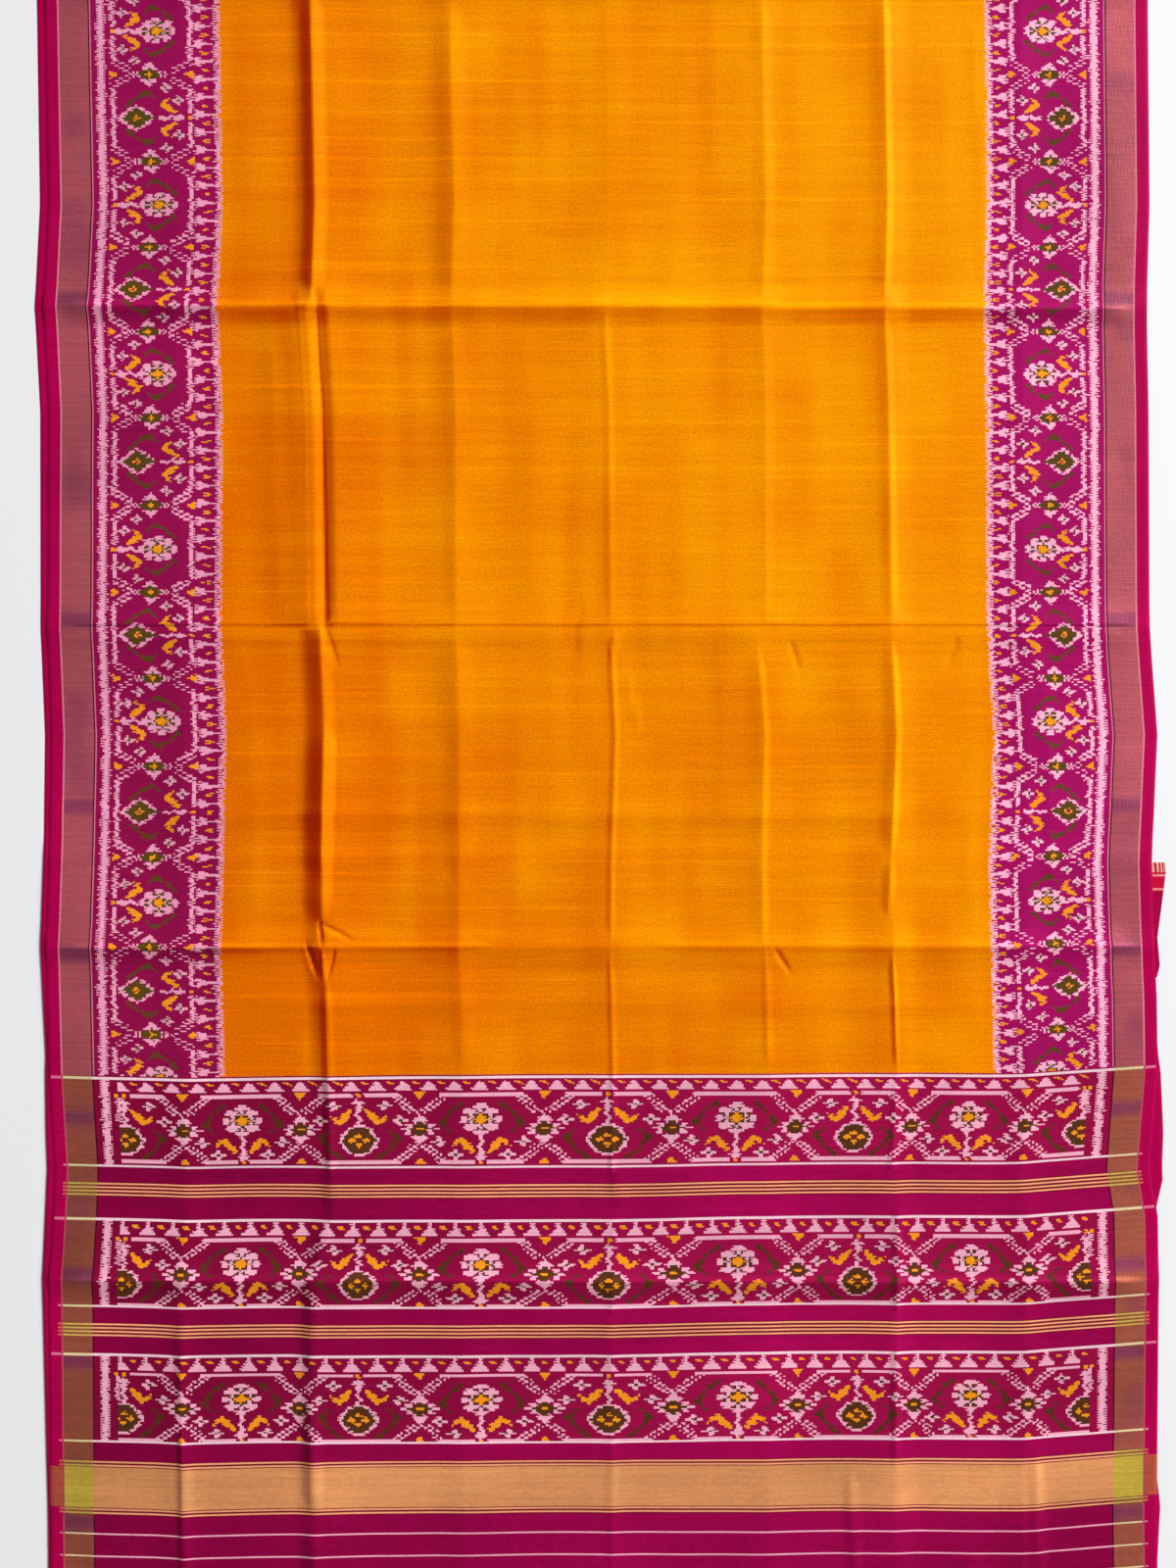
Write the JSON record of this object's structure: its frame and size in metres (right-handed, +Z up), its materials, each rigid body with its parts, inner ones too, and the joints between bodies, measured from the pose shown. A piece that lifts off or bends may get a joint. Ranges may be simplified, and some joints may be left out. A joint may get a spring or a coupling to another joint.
{
  "type": "patola saree, laid flat and folded back",
  "caption": "Ikat silk saree laid flat and folded back on itself, with patterned side borders and a banded pallu on top; drapes as a wrapped garment.",
  "frame": {"origin": "on the surface the saree lies on, under the middle of its bounding box", "axes": "+Y along the cloth towards the far fold, with the pallu end towards -Y; +Z up; +X to the right, seen from above"},
  "size_m": [1.154, 2.45, 0.0143],
  "materials": {
    "orange_silk": "orange twill silk with soft sheen",
    "ikat_border": "magenta ikat silk with a copper zari strip and crimson selvedge",
    "ikat_pallu": "deep magenta ikat silk with white and gold weft lines",
    "gold_band": "gold zari weave on magenta silk",
    "under_silk": "crimson and magenta silk, seen at the edges"
  },
  "bodies": {
    "root": {"body_field": "orange_silk", "border_left": "ikat_border", "border_right": "ikat_border", "pallu_figured": "ikat_pallu", "pallu_end": "gold_band", "folded_layers": "under_silk", "inner_end": "under_silk"}
  },
  "joints": []
}
